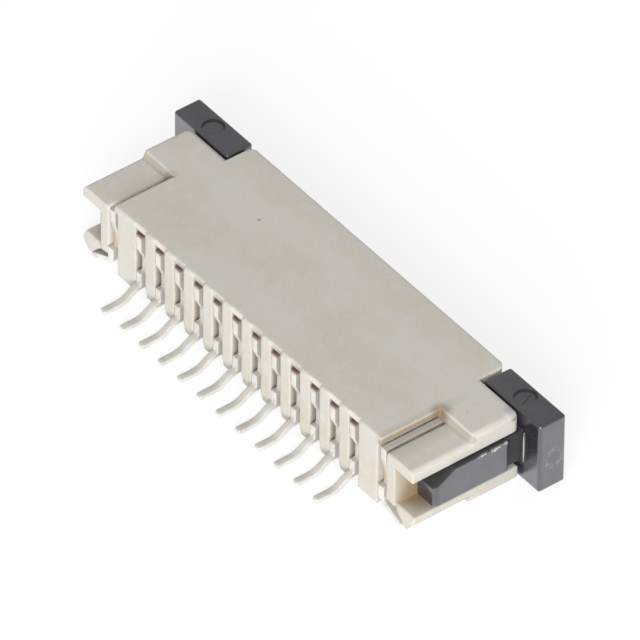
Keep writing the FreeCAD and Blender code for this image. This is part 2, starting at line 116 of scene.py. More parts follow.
def merged_copy(node, name, edge_width):
    """A copy of a CAD node's mesh with its loose triangles joined and its flat faces made whole.

    Every outer edge is marked with the rounding that edge_width gives for how far its middle
    is from the centre of the row, or with less where the faces beside it are too narrow.
    Both are in millimetres.
    """
    shape = bmesh.new()
    shape.from_mesh(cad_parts[node].data)
    bmesh.ops.remove_doubles(shape, verts=shape.verts, dist=MERGE_DISTANCE * MM)
    bmesh.ops.dissolve_limit(shape, angle_limit=FLAT, verts=shape.verts, edges=shape.edges)
    mark = shape.edges.layers.float.new("bevel_weight_edge")
    widths = {}
    joints = []
    for edge in shape.edges:
        if edge.is_convex and edge.calc_face_angle(0) > SHARP:
            middle = (edge.verts[0].co + edge.verts[1].co) / (2 * MM)
            widths[edge] = edge_width(abs(middle.x))
            for end in edge.verts:
                along = (edge.other_vert(end).co - end.co).normalized()
                for other in end.link_edges:
                    reach = other.other_vert(end).co - end.co
                    turn = reach.normalized().dot(along)
                    if abs(turn) < RUNS_ON:
                        widths[edge] = min(widths[edge], SHARE_OF_EDGE * reach.length / MM)
                    elif turn < 0:
                        joints.append((edge, other))
    # Edges that run on in one line or curve share the smallest of their roundings.
    joints = [pair for pair in joints if pair[1] in widths]
    while any(widths[one] > widths[two] for one, two in joints):
        for one, two in joints:
            widths[one] = min(widths[one], widths[two])
    for edge, width in widths.items():
        edge[mark] = width / FULL_ROUNDING
    mesh = bpy.data.meshes.new(name)
    shape.to_mesh(mesh)
    shape.free()
    return link_object(name, mesh)


def apply_modifiers(piece):
    """Keeps what a piece's modifiers make as its plain mesh."""
    graph = bpy.context.evaluated_depsgraph_get()
    finished = bpy.data.meshes.new_from_object(piece.evaluated_get(graph))
    piece.modifiers.clear()
    piece.data = finished


def round_edges(piece, node, segments, keep_apart):
    """Rounds the marked edges and holds the result inside the node's box.

    With keep_apart, Blender narrows all roundings alike wherever two would meet.
    """
    bevel = piece.modifiers.new("edge_rounding", "BEVEL")
    bevel.width = FULL_ROUNDING * MM
    bevel.segments = segments
    bevel.limit_method = "WEIGHT"
    bevel.use_clamp_overlap = keep_apart
    apply_modifiers(piece)
    low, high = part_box(node)
    for vertex in piece.data.vertices:
        vertex.co = [min(max(vertex.co[i], low[i]), high[i]) for i in range(3)]
    piece.data.polygons.foreach_set("use_smooth", [True] * len(piece.data.polygons))
    piece.data.set_sharp_from_angle(angle=SHARP)
    weighted = piece.modifiers.new("even_normals", "WEIGHTED_NORMAL")
    weighted.weight = 100
    weighted.keep_sharp = True
    apply_modifiers(piece)
    piece.data.materials.clear()


def mask_of_ramps(tree, strength, *ramps):
    """A mask of the given strength: the product of two or more ramps.

    Each ramp has a coordinate, where it is empty and where it is full, in millimetres.
    """
    mask = None
    for coordinate, empty, full in ramps:
        ramp = add_node(tree, "ShaderNodeMapRange", {
            0: coordinate, 1: empty * MM, 2: full * MM, 3: 0.0, 4: 1.0 if mask else strength,
        })
        if mask:
            ramp = add_node(tree, "ShaderNodeMath", {0: mask, 1: ramp.outputs[0]}, operation="MULTIPLY")
        mask = ramp.outputs[0]
    return mask


LCP_GREY = "#D4D0C7"
LCP_WARM = "#D0C8BA"
LCP_COOL = "#D3D3CF"
LCP_EDGE_HIGHLIGHT = "#DED8C9"
LCP_GREY_SHADE = "#968E80"
LCP_FLOOR_SHADE = "#B0AC9F"
LCP_SHADE = "#A68F6E"
LCP_SLOT_SHADE = "#7D7263"
LCP_DEEP_SHADE = "#5F452A"
LCP_CORNER_SHADE = "#80644A"
LCP_CHAR = "#7A5C42"
DARK_SPECK = (-3.58, 1.33, 2.80)

# Liquid-crystal polymer, moulded: a dull stone beige with faint flow clouds and a few dark specks, with a
# painted highlight along its thin edges and painted shade, tan to brown, on its recess walls, corners, side
# channels, slots and hollows.
lcp = blank_material("liquid_crystal_polymer_moulded")
tree = lcp.node_tree
place = add_node(tree, "ShaderNodeTexCoord").outputs["Object"]
stretch = add_node(tree, "ShaderNodeMapping", {"Vector": place, "Scale": (0.45, 1.0, 1.0)}).outputs[0]
# Flow clouds about 2.5 mm across, drawn out along the row as the melt ran.
flow = add_node(tree, "ShaderNodeTexNoise", {
    "Vector": stretch, "Scale": 1 / (2.5 * MM), "Detail": 3.0, "Roughness": 0.55,
})
# Glass lies unevenly below the skin, in patches about 0.45 mm across.
patch = add_node(tree, "ShaderNodeTexNoise", {
    "Vector": place, "Scale": 1 / (0.45 * MM), "Detail": 3.0, "Roughness": 0.6,
})
# Grain of the tool's spark-eroded surface, really about 0.02 mm, drawn at 0.08 mm to show.
grain = add_node(tree, "ShaderNodeTexNoise", {
    "Vector": place, "Scale": 1 / (0.08 * MM), "Detail": 2.0, "Roughness": 0.6,
})
amount = add_node(tree, "ShaderNodeMapRange", {0: flow.outputs["Fac"], 1: 0.38, 2: 0.62, 3: 0.0, 4: 0.8})
colour = add_node(tree, "ShaderNodeMix", {
    0: amount.outputs[0], 6: linear(LCP_GREY), 7: linear(LCP_WARM),
}, data_type="RGBA")
amount = add_node(tree, "ShaderNodeMapRange", {0: patch.outputs["Fac"], 1: 0.45, 2: 0.75, 3: 0.0, 4: 0.7})
colour = add_node(tree, "ShaderNodeMix", {
    0: amount.outputs[0], 6: colour.outputs[2], 7: linear(LCP_COOL),
}, data_type="RGBA")
tone = add_node(tree, "ShaderNodeMapRange", {0: grain.outputs["Fac"], 1: 0.2, 2: 0.8, 3: 0.94, 4: 1.06})
colour = add_node(tree, "ShaderNodeVectorMath", {
    0: colour.outputs[2], "Scale": tone.outputs[0],
}, operation="SCALE")
# Charred specks: a third of the cells, 1.3 mm wide, hold a faint one of about 0.06 mm. A
# darker one, 0.1 mm wide, lies left of the middle of the top plate.
cells = add_node(tree, "ShaderNodeTexVoronoi", {
    "Vector": place, "Scale": 1 / (1.3 * MM), "Randomness": 1.0,
})
near = add_node(tree, "ShaderNodeMapRange", {
    0: cells.outputs["Distance"], 1: 0.014, 2: 0.034, 3: 0.35, 4: 0.0,
})
chosen = add_node(tree, "ShaderNodeSeparateColor", {0: cells.outputs["Color"]})
chosen = add_node(tree, "ShaderNodeMath", {0: chosen.outputs[0], 1: 0.66}, operation="GREATER_THAN")
speck = add_node(tree, "ShaderNodeMath", {0: near.outputs[0], 1: chosen.outputs[0]}, operation="MULTIPLY")
away = add_node(tree, "ShaderNodeVectorMath", {
    0: place, 1: [value * MM for value in DARK_SPECK],
}, operation="DISTANCE")
darkest = add_node(tree, "ShaderNodeMapRange", {
    0: away.outputs["Value"], 1: 0.03 * MM, 2: 0.07 * MM, 3: 0.7, 4: 0.0,
})
speck = add_node(tree, "ShaderNodeMath", {0: speck.outputs[0], 1: darkest.outputs[0]}, operation="MAXIMUM")
colour = add_node(tree, "ShaderNodeMix", {
    0: speck.outputs[0], 6: colour.outputs[0], 7: linear(LCP_CHAR),
}, data_type="RGBA")
# Painted highlight: edges are made creamier, standing for light that comes through them.
true_normal = add_node(tree, "ShaderNodeNewGeometry").outputs["Normal"]
rounded = add_node(tree, "ShaderNodeBevel", {"Radius": 0.10 * MM}, samples=8)
bend = add_node(tree, "ShaderNodeVectorMath", {
    0: true_normal, 1: rounded.outputs[0],
}, operation="DOT_PRODUCT")
edge = add_node(tree, "ShaderNodeMapRange", {0: bend.outputs["Value"], 1: 0.995, 2: 0.86, 3: 0.0, 4: 0.45})
open_air = add_node(tree, "ShaderNodeAmbientOcclusion", {"Distance": 0.5 * MM}, samples=12, only_local=True)
edge = add_node(tree, "ShaderNodeMath", {
    0: edge.outputs[0], 1: open_air.outputs["AO"],
}, operation="MULTIPLY")
colour = add_node(tree, "ShaderNodeMix", {
    0: edge.outputs[0], 6: colour.outputs[2], 7: linear(LCP_EDGE_HIGHLIGHT),
}, data_type="RGBA")
# Painted shade: the front wall of each recess is darkened, and so are the right recess's inner wall, its
# floor and the lip beside its hold-down. The top plate is shaded tan along that recess. Each row gives the
# coordinates, their weights, the middle of the mark, how far from it the mark is full and gone, its
# strength and its tint.
apart = add_node(tree, "ShaderNodeSeparateXYZ", {0: place})
either = add_node(tree, "ShaderNodeMath", {0: apart.outputs[0]}, operation="ABSOLUTE")
folded = add_node(tree, "ShaderNodeCombineXYZ", {
    0: either.outputs[0], 1: apart.outputs[1], 2: apart.outputs[2],
})
for where, keep, spot, full, gone, most, tint in (
    (place, (1, 0, 1), (6.90, 0, 2.62), 0.11, 0.17, 0.90, LCP_GREY_SHADE),
    (place, (1, 0.12, 1), (6.86, -0.108, 2.70), 0.05, 0.34, 0.45, LCP_SHADE),
    (folded.outputs[0], (0, 1, 1), (0, 0.45, 2.62), 0.10, 0.17, 0.60, LCP_GREY_SHADE),
    (place, (1, 0, 1), (7.12, 0, 2.50), 0.12, 0.20, 0.60, LCP_GREY_SHADE),
    (place, (1, 0, 7), (7.20, 0, 17.71), 0.15, 0.65, 0.60, LCP_FLOOR_SHADE),
):
    flat = add_node(tree, "ShaderNodeVectorMath", {0: where, 1: keep}, operation="MULTIPLY")
    away = add_node(tree, "ShaderNodeVectorMath", {
        0: flat.outputs[0], 1: [value * MM for value in spot],
    }, operation="DISTANCE")
    painted_shade = add_node(tree, "ShaderNodeMapRange", {
        0: away.outputs["Value"], 1: full * MM, 2: gone * MM, 3: most, 4: 0.0,
    })
    colour = add_node(tree, "ShaderNodeMix", {
        0: painted_shade.outputs[0], 6: colour.outputs[2], 7: linear(tint),
    }, data_type="RGBA")
# Painted shade, brown, in the inner corner of each recess, more at the right, and low in each side channel.
# Each row gives the coordinates, the middle of the mark, how far from it the mark is full and gone, and its
# strength.
for where, spot, full, gone, most in (
    (place, (6.93, 0.42, 2.68), 0.05, 0.50, 0.68),
    (place, (-7.00, 0.42, 2.60), 0.05, 0.40, 0.45),
    (folded.outputs[0], (7.60, -1.10, 0.62), 0.10, 0.90, 0.80),
):
    away = add_node(tree, "ShaderNodeVectorMath", {
        0: where, 1: [value * MM for value in spot],
    }, operation="DISTANCE")
    corner_shade = add_node(tree, "ShaderNodeMapRange", {
        0: away.outputs["Value"], 1: full * MM, 2: gone * MM, 3: most, 4: 0.0,
    }, interpolation_type="SMOOTHSTEP")
    colour = add_node(tree, "ShaderNodeMix", {
        0: corner_shade.outputs[0], 6: colour.outputs[2], 7: linear(LCP_CORNER_SHADE),
    }, data_type="RGBA")
# Painted shade: each side channel is browner the further in, most of all under the flange.
across, deep, up = either.outputs[0], apart.outputs[1], apart.outputs[2]
channel_shade = mask_of_ramps(
    tree, 0.80,
    (deep, -1.95, -1.25), (across, 7.50, 7.57), (across, 8.46, 8.20), (up, 0.57, 0.62), (up, 2.14, 2.10),
)
colour = add_node(tree, "ShaderNodeMix", {
    0: channel_shade, 6: colour.outputs[2], 7: linear(LCP_SHADE),
}, data_type="RGBA")
under_flange_shade = add_node(tree, "ShaderNodeMapRange", {0: up, 1: 1.95 * MM, 2: 2.08 * MM, 3: 0.0, 4: 1.1})
under_flange_shade = add_node(tree, "ShaderNodeMath", {0: under_flange_shade.outputs[0], 1: channel_shade}, operation="MULTIPLY")
colour = add_node(tree, "ShaderNodeMix", {
    0: under_flange_shade.outputs[0], 6: colour.outputs[2], 7: linear(LCP_DEEP_SHADE),
}, data_type="RGBA")
# Painted shade: the walls inside the contact slots are darkened. The tint covers all that is further in
# than the slots' mouths and lower than 2.5 mm, over the length of the row, so that the cable mouth and the
# underside have it too.
slot_wall_shade = mask_of_ramps(tree, 0.75, (deep, -1.88, -1.72), (across, 5.90, 5.80), (up, 2.60, 2.40))
colour = add_node(tree, "ShaderNodeMix", {
    0: slot_wall_shade, 6: colour.outputs[2], 7: linear(LCP_SLOT_SHADE),
}, data_type="RGBA")
# Painted shade: hollows turn tan and then brown with depth, by ambient occlusion.
shade = add_node(tree, "ShaderNodeMapRange", {0: open_air.outputs["AO"], 1: 0.80, 2: 0.35, 3: 0.0, 4: 0.6})
colour = add_node(tree, "ShaderNodeMix", {
    0: shade.outputs[0], 6: colour.outputs[2], 7: linear(LCP_SHADE),
}, data_type="RGBA")
deep_shade = add_node(tree, "ShaderNodeMapRange", {0: open_air.outputs["AO"], 1: 0.35, 2: 0.08, 3: 0.0, 4: 0.8})
colour = add_node(tree, "ShaderNodeMix", {
    0: deep_shade.outputs[0], 6: colour.outputs[2], 7: linear(LCP_DEEP_SHADE),
}, data_type="RGBA")
shine = add_node(tree, "ShaderNodeMapRange", {0: grain.outputs["Fac"], 1: 0.2, 2: 0.8, 3: 0.46, 4: 0.62})
grain_bump = add_node(tree, "ShaderNodeBump", {
    "Strength": 0.25, "Distance": 0.006 * MM, "Height": grain.outputs["Fac"], "Normal": rounded.outputs[0],
})
shader = add_node(tree, "ShaderNodeBsdfPrincipled", {
    "Base Color": colour.outputs[2], "Roughness": shine.outputs[0], "Normal": grain_bump.outputs[0],
    "IOR": 1.38, "Subsurface Weight": 0.15, "Subsurface Radius": (1.0, 0.85, 0.65),
    "Subsurface Scale": 0.2 * MM,
})
add_node(tree, "ShaderNodeOutputMaterial", {0: shader.outputs[0]})


def housing_rounding(x):
    """Rounding of a housing edge whose middle is x from the centre of the row, in millimetres."""
    return FLANGE_ROUNDING if x > FLANGE_END_FROM else HOUSING_ROUNDING


housing = merged_copy("housing", "housing_moulding", housing_rounding)
round_edges(housing, "housing", 3, False)
housing.data.materials.append(lcp)
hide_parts("housing")
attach(housing, "housing")

# Contacts. Twelve blades stamped from phosphor-bronze strip, then tin plated,
# pushed into the housing from behind. Each is the same shape, one pitch apart,
# with the slight scatter that pressing them in leaves.
CONTACTS = 12
PITCH = 1.0 * MM
SCATTER = 0.004 * MM
SCATTER_SEED = 5
BLADE_ROUNDING = 0.03
TIN_LIGHT = "#D2CEC7"
TIN_DULL = "#C3BFB8"
TIN_SHADE = "#857C70"
TIN_TOP_SHADE = "#75594A"
BARE_BRONZE = "#C6A470"
BARE_PLACE = (6.95, -1.75, 1.25)

# Tin plate, electroplated and matte: pale silver-grey that scatters more light than it
# mirrors, so Metallic is low, with cloudy patches and fine strip lines. On the hold-downs a
# patch of bronze shows through.
tin = blank_material("tin_plate_matte_on_bronze")
tree = tin.node_tree
place = add_node(tree, "ShaderNodeTexCoord").outputs["Object"]
cloud = add_node(tree, "ShaderNodeTexNoise", {"Vector": place, "Scale": 1 / (0.5 * MM), "Detail": 3.0})
along = add_node(tree, "ShaderNodeMapping", {"Vector": place, "Scale": (1.0, 0.12, 0.12)}).outputs[0]
# Rolling lines of the strip, really a few microns apart, drawn at 0.05 mm.
lines = add_node(tree, "ShaderNodeTexNoise", {"Vector": along, "Scale": 1 / (0.05 * MM), "Detail": 2.0})
amount = add_node(tree, "ShaderNodeMapRange", {0: cloud.outputs["Fac"], 1: 0.35, 2: 0.7, 3: 0.0, 4: 1.0})
colour = add_node(tree, "ShaderNodeMix", {
    0: amount.outputs[0], 6: linear(TIN_LIGHT), 7: linear(TIN_DULL),
}, data_type="RGBA")
# The bare place on each hold-down is about 0.4 mm across, in the notch of its rear edge.
apart = add_node(tree, "ShaderNodeSeparateXYZ", {0: place})
either = add_node(tree, "ShaderNodeMath", {0: apart.outputs[0]}, operation="ABSOLUTE")
across, up = either.outputs[0], apart.outputs[2]
folded = add_node(tree, "ShaderNodeCombineXYZ", {
    0: either.outputs[0], 1: apart.outputs[1], 2: apart.outputs[2],
})
away = add_node(tree, "ShaderNodeVectorMath", {
    0: folded.outputs[0], 1: [value * MM for value in BARE_PLACE],
}, operation="DISTANCE")
wiped = add_node(tree, "ShaderNodeMapRange", {
    0: away.outputs["Value"], 1: 0.10 * MM, 2: 0.34 * MM, 3: 0.65, 4: 0.0,
})
colour = add_node(tree, "ShaderNodeMix", {
    0: wiped.outputs[0], 6: colour.outputs[2], 7: linear(BARE_BRONZE),
}, data_type="RGBA")
# Painted shade: each contact is darkened brown at its top, from about 2.5 mm up, under the slot's roof.
high = add_node(tree, "ShaderNodeMapRange", {0: up, 1: 2.42 * MM, 2: 2.54 * MM, 3: 0.0, 4: 0.9})
within = add_node(tree, "ShaderNodeMath", {0: across, 1: 6.2 * MM}, operation="LESS_THAN")
top_shade = add_node(tree, "ShaderNodeMath", {0: high.outputs[0], 1: within.outputs[0]}, operation="MULTIPLY")
colour = add_node(tree, "ShaderNodeMix", {
    0: top_shade.outputs[0], 6: colour.outputs[2], 7: linear(TIN_TOP_SHADE),
}, data_type="RGBA")
# Painted shade: the outer half of each hold-down's upper edge is darkened, as in its slot.
outer = add_node(tree, "ShaderNodeMapRange", {0: across, 1: 6.96 * MM, 2: 7.00 * MM, 3: 0.0, 4: 0.35})
upper = add_node(tree, "ShaderNodeMath", {0: up, 1: 2.46 * MM}, operation="GREATER_THAN")
outer_half_shade = add_node(tree, "ShaderNodeMath", {0: outer.outputs[0], 1: upper.outputs[0]}, operation="MULTIPLY")
colour = add_node(tree, "ShaderNodeMix", {
    0: outer_half_shade.outputs[0], 6: colour.outputs[2], 7: linear(TIN_SHADE),
}, data_type="RGBA")
# Painted shade: hollows darken with ambient occlusion.
open_air = add_node(tree, "ShaderNodeAmbientOcclusion", {"Distance": 0.3 * MM}, samples=12, only_local=True)
deep_shade = add_node(tree, "ShaderNodeMapRange", {0: open_air.outputs["AO"], 1: 0.40, 2: 0.10, 3: 0.0, 4: 0.8})
colour = add_node(tree, "ShaderNodeMix", {
    0: deep_shade.outputs[0], 6: colour.outputs[2], 7: linear(TIN_SHADE),
}, data_type="RGBA")
rough = add_node(tree, "ShaderNodeMapRange", {0: cloud.outputs["Fac"], 1: 0.3, 2: 0.7, 3: 0.28, 4: 0.42})
line_bump = add_node(tree, "ShaderNodeBump", {
    "Strength": 0.12, "Distance": 0.004 * MM, "Height": lines.outputs["Fac"],
})
shader = add_node(tree, "ShaderNodeBsdfPrincipled", {
    "Base Color": colour.outputs[2], "Metallic": 0.25, "Roughness": rough.outputs[0],
    "Normal": line_bump.outputs[0],
})
add_node(tree, "ShaderNodeOutputMaterial", {0: shader.outputs[0]})

blade = merged_copy("contact_01", "contact_row", lambda x: BLADE_ROUNDING)
round_edges(blade, "contact_01", 2, True)
low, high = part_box("contact_01")
middle_of_blade = (low[0] + high[0]) / 2
for vertex in blade.data.vertices:
    vertex.co.x -= middle_of_blade

row = bpy.data.node_groups.new("row_of_blades", "GeometryNodeTree")
row.is_modifier = True
row.interface.new_socket("Blade", in_out="INPUT", socket_type="NodeSocketGeometry")
sizes = []
for label, kind, value in (
    ("Count", "NodeSocketInt", CONTACTS),
    ("Pitch", "NodeSocketFloat", PITCH),
    ("Scatter", "NodeSocketFloat", SCATTER),
    ("Seed", "NodeSocketInt", SCATTER_SEED),
):
    socket = row.interface.new_socket(label, in_out="INPUT", socket_type=kind)
    socket.default_value = value
    sizes.append((socket.identifier, value))
row.interface.new_socket("Row", in_out="OUTPUT", socket_type="NodeSocketGeometry")
given = add_node(row, "NodeGroupInput")
step = add_node(row, "ShaderNodeCombineXYZ", {0: given.outputs["Pitch"]})
gaps = add_node(row, "ShaderNodeMath", {0: given.outputs["Count"], 1: 1.0}, operation="SUBTRACT")
span = add_node(row, "ShaderNodeMath", {
    0: gaps.outputs[0], 1: given.outputs["Pitch"],
}, operation="MULTIPLY")
start = add_node(row, "ShaderNodeMath", {0: span.outputs[0], 1: -0.5}, operation="MULTIPLY")
start = add_node(row, "ShaderNodeCombineXYZ", {0: start.outputs[0]})
points = add_node(row, "GeometryNodeMeshLine", {
    "Count": given.outputs["Count"], "Start Location": start.outputs[0], "Offset": step.outputs[0],
}, mode="OFFSET")
shift = add_node(row, "ShaderNodeMath", {0: given.outputs["Scatter"], 1: -1.0}, operation="MULTIPLY")
scatter = add_node(row, "FunctionNodeRandomValue", {
    2: shift.outputs[0], 3: given.outputs["Scatter"], "Seed": given.outputs["Seed"],
}, data_type="FLOAT")
nudge = add_node(row, "ShaderNodeCombineXYZ", {0: scatter.outputs[1]})
points = add_node(row, "GeometryNodeSetPosition", {
    "Geometry": points.outputs[0], "Offset": nudge.outputs[0],
})
copies = add_node(row, "GeometryNodeInstanceOnPoints", {
    "Points": points.outputs[0], "Instance": given.outputs["Blade"],
})
solid = add_node(row, "GeometryNodeRealizeInstances", {0: copies.outputs[0]})
finish = add_node(row, "GeometryNodeSetMaterial", {"Geometry": solid.outputs[0], "Material": tin})
add_node(row, "NodeGroupOutput", {0: finish.outputs[0]})

repeat = blade.modifiers.new("row", "NODES")
repeat.node_group = row
for identifier, value in sizes:
    repeat[identifier] = value
apply_modifiers(blade)
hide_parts(*["contact_%02d" % number for number in range(1, CONTACTS + 1)])
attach(blade, "housing")

# Hold-downs. Two strips of the same tinned sheet, pushed in from behind at the
# ends of the row and bent outward under the flanges, where they are soldered.
STRIP_ROUNDING = 0.035
for side in ("left", "right"):
    strip = merged_copy(side + "_hold_down", side + "_hold_down_strip", lambda x: STRIP_ROUNDING)
    round_edges(strip, side + "_hold_down", 2, True)
    strip.data.materials.append(tin)
    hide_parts(side + "_hold_down")
    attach(strip, "housing")

# Slider. One black moulding of glass-filled polymer: two end grips, two side
# arms and the wedge tongue that locks the cable. The glass shows as a grey
# bloom and as pale rubbed places along its edges.
BLACK = "#252429"
BLACK_BLOOM = "#343339"
BLACK_RUBBED_AND_HIGHLIGHT = "#C4C4C6"
BLACK_SCUFFED = "#8E8A93"
BLACK_SHADE = "#0D0C0C"
SLIDER_ROUNDING = 0.03
FLASH_MIDDLE = 1.16
RIDGE_MIDDLE, RIDGE_REACH = (8.67, 2.31, 1.42), (0.018, 0.04, 0.54)
NECK_MIDDLE, NECK_REACH = (8.30, 2.08, 1.40), (0.30, 0.36, 0.75)
DIMPLE_X, DIMPLE_Y, DIMPLE_RADIUS = 8.01, 2.885, 0.37
CUT_MIDDLE, CUT_NORMAL, CUT_REACH = (8.06, 2.90, 2.72), (0.917, 0.398, 0), 8.549
SCUFF_MIDDLE = (9.41, 2.93, 1.25)

# Black polymer, glass filled and moulded: charcoal with a satin skin that mirrors the white table from its
# sides, fine grey fibre specks, chalky edges, a round scuff on each end, painted shade in its dimples,
# necks, ramps and hollows, and a painted highlight along the ridge beside each grip.
slide_plastic = blank_material("black_polymer_glass_filled")
tree = slide_plastic.node_tree
place = add_node(tree, "ShaderNodeTexCoord").outputs["Object"]
cloud = add_node(tree, "ShaderNodeTexNoise", {
    "Vector": place, "Scale": 1 / (0.7 * MM), "Detail": 4.0, "Roughness": 0.6,
})
# Glass fibres near the surface, about 0.01 mm thick, drawn as 0.05 mm grains.
fibre = add_node(tree, "ShaderNodeTexNoise", {
    "Vector": place, "Scale": 1 / (0.05 * MM), "Detail": 2.0, "Roughness": 0.65,
})
amount = add_node(tree, "ShaderNodeMapRange", {0: cloud.outputs["Fac"], 1: 0.35, 2: 0.7, 3: 0.0, 4: 1.0})
colour = add_node(tree, "ShaderNodeMix", {
    0: amount.outputs[0], 6: linear(BLACK), 7: linear(BLACK_BLOOM),
}, data_type="RGBA")
tone = add_node(tree, "ShaderNodeMapRange", {0: fibre.outputs["Fac"], 1: 0.25, 2: 0.75, 3: 0.7, 4: 1.35})
colour = add_node(tree, "ShaderNodeVectorMath", {
    0: colour.outputs[2], "Scale": tone.outputs[0],
}, operation="SCALE")
# Edges are rubbed pale in patches about 0.35 mm long.
true_normal = add_node(tree, "ShaderNodeNewGeometry").outputs["Normal"]
rounded = add_node(tree, "ShaderNodeBevel", {"Radius": 0.07 * MM}, samples=8)
bend = add_node(tree, "ShaderNodeVectorMath", {
    0: true_normal, 1: rounded.outputs[0],
}, operation="DOT_PRODUCT")
edge = add_node(tree, "ShaderNodeMapRange", {0: bend.outputs["Value"], 1: 0.985, 2: 0.86, 3: 0.0, 4: 1.0})
patches = add_node(tree, "ShaderNodeTexNoise", {
    "Vector": place, "Scale": 1 / (0.35 * MM), "Detail": 4.0, "Roughness": 0.7,
})
worn = add_node(tree, "ShaderNodeMapRange", {0: patches.outputs["Fac"], 1: 0.55, 2: 0.68, 3: 0.0, 4: 0.6})
worn = add_node(tree, "ShaderNodeMath", {0: worn.outputs[0], 1: edge.outputs[0]}, operation="MULTIPLY")
# A ragged line of flash stands along the top of each arm, over about 1.2 mm next to the grip.
apart = add_node(tree, "ShaderNodeSeparateXYZ", {0: place})
either = add_node(tree, "ShaderNodeMath", {0: apart.outputs[0]}, operation="ABSOLUTE")
across, deep, up = either.outputs[0], apart.outputs[1], apart.outputs[2]
folded = add_node(tree, "ShaderNodeCombineXYZ", {
    0: either.outputs[0], 1: apart.outputs[1], 2: apart.outputs[2],
})
ragged = add_node(tree, "ShaderNodeTexNoise", {
    "Vector": place, "Scale": 1 / (0.20 * MM), "Detail": 4.0, "Roughness": 0.65,
})
ragged = add_node(tree, "ShaderNodeMapRange", {
    0: ragged.outputs["Fac"], 1: 0.35, 2: 0.65, 3: -0.11 * MM, 4: 0.11 * MM,
})
height = add_node(tree, "ShaderNodeMath", {0: up, 1: ragged.outputs[0]}, operation="ADD")
along = add_node(tree, "ShaderNodeMath", {0: deep, 1: FLASH_MIDDLE * MM}, operation="SUBTRACT")
along = add_node(tree, "ShaderNodeMath", {0: along.outputs[0]}, operation="ABSOLUTE")
flash = mask_of_ramps(
    tree, 0.8, (height.outputs[0], 1.99, 2.02), (along.outputs[0], 0.68, 0.50), (across, 8.60, 8.63),
)
on_arm = add_node(tree, "ShaderNodeMath", {0: up, 1: 2.3 * MM}, operation="LESS_THAN")
flash = add_node(tree, "ShaderNodeMath", {0: flash, 1: on_arm.outputs[0]}, operation="MULTIPLY")
worn = add_node(tree, "ShaderNodeMath", {0: worn.outputs[0], 1: flash.outputs[0]}, operation="MAXIMUM")
colour = add_node(tree, "ShaderNodeMix", {
    0: worn.outputs[0], 6: colour.outputs[0], 7: linear(BLACK_RUBBED_AND_HIGHLIGHT),
}, data_type="RGBA")
# Painted highlight: a bright thin line along the ridge beside each grip.
centred = add_node(tree, "ShaderNodeVectorMath", {
    0: folded.outputs[0], 1: [value * MM for value in RIDGE_MIDDLE],
}, operation="SUBTRACT")
squeezed = add_node(tree, "ShaderNodeVectorMath", {
    0: centred.outputs[0], 1: [1 / (value * MM) for value in RIDGE_REACH],
}, operation="MULTIPLY")
reach = add_node(tree, "ShaderNodeVectorMath", {0: squeezed.outputs[0]}, operation="LENGTH")
ridge_highlight = add_node(tree, "ShaderNodeMapRange", {0: reach.outputs["Value"], 1: 0.9, 2: 1.15, 3: 0.7, 4: 0.0})
colour = add_node(tree, "ShaderNodeMix", {
    0: ridge_highlight.outputs[0], 6: colour.outputs[2], 7: linear(BLACK_RUBBED_AND_HIGHLIGHT),
}, data_type="RGBA")
# Painted shade lies round the foot of each dimple's wall, on the half that is to the left and front.
# It is drawn at every height below the grip's top face.
flat = add_node(tree, "ShaderNodeVectorMath", {0: folded.outputs[0], 1: (1, 1, 0)}, operation="MULTIPLY")
away = add_node(tree, "ShaderNodeVectorMath", {
    0: flat.outputs[0], 1: (DIMPLE_X * MM, DIMPLE_Y * MM, 0),
}, operation="DISTANCE")
away = add_node(tree, "ShaderNodeMath", {
    0: away.outputs["Value"], 1: DIMPLE_RADIUS * MM,
}, operation="SUBTRACT")
away = add_node(tree, "ShaderNodeMath", {0: away.outputs[0]}, operation="ABSOLUTE")
shade_and_cut = add_node(tree, "ShaderNodeMapRange", {
    0: away.outputs[0], 1: 0.03 * MM, 2: 0.07 * MM, 3: 1.0, 4: 0.0,
})
sunk = add_node(tree, "ShaderNodeMath", {0: up, 1: 2.785 * MM}, operation="LESS_THAN")
end = add_node(tree, "ShaderNodeMath", {0: apart.outputs[0]}, operation="SIGN")
middle = add_node(tree, "ShaderNodeCombineXYZ", {0: end.outputs[0], 1: DIMPLE_Y / DIMPLE_X})
middle = add_node(tree, "ShaderNodeVectorMath", {
    0: middle.outputs[0], "Scale": DIMPLE_X * MM,
}, operation="SCALE")
centred = add_node(tree, "ShaderNodeVectorMath", {0: place, 1: middle.outputs[0]}, operation="SUBTRACT")
far = add_node(tree, "ShaderNodeVectorMath", {
    0: centred.outputs[0], 1: (-0.70, 0.71, 0),
}, operation="DOT_PRODUCT")
far = add_node(tree, "ShaderNodeMapRange", {
    0: far.outputs["Value"], 1: -0.10 * MM, 2: 0.15 * MM, 3: 0.0, 4: 1.0,
})
for mask in (sunk, far):
    shade_and_cut = add_node(tree, "ShaderNodeMath", {0: shade_and_cut.outputs[0], 1: mask.outputs[0]}, operation="MULTIPLY")
# A cut runs across the right-hand dimple, drawn in the same dark colour as the painted shade.
aside = add_node(tree, "ShaderNodeVectorMath", {0: place, 1: CUT_NORMAL}, operation="DOT_PRODUCT")
aside = add_node(tree, "ShaderNodeMath", {
    0: aside.outputs["Value"], 1: CUT_REACH * MM,
}, operation="SUBTRACT")
aside = add_node(tree, "ShaderNodeMath", {0: aside.outputs[0]}, operation="ABSOLUTE")
away = add_node(tree, "ShaderNodeVectorMath", {
    0: place, 1: [value * MM for value in CUT_MIDDLE],
}, operation="DISTANCE")
cut = mask_of_ramps(tree, 0.9, (aside.outputs[0], 0.034, 0.012), (away.outputs["Value"], 0.29, 0.24))
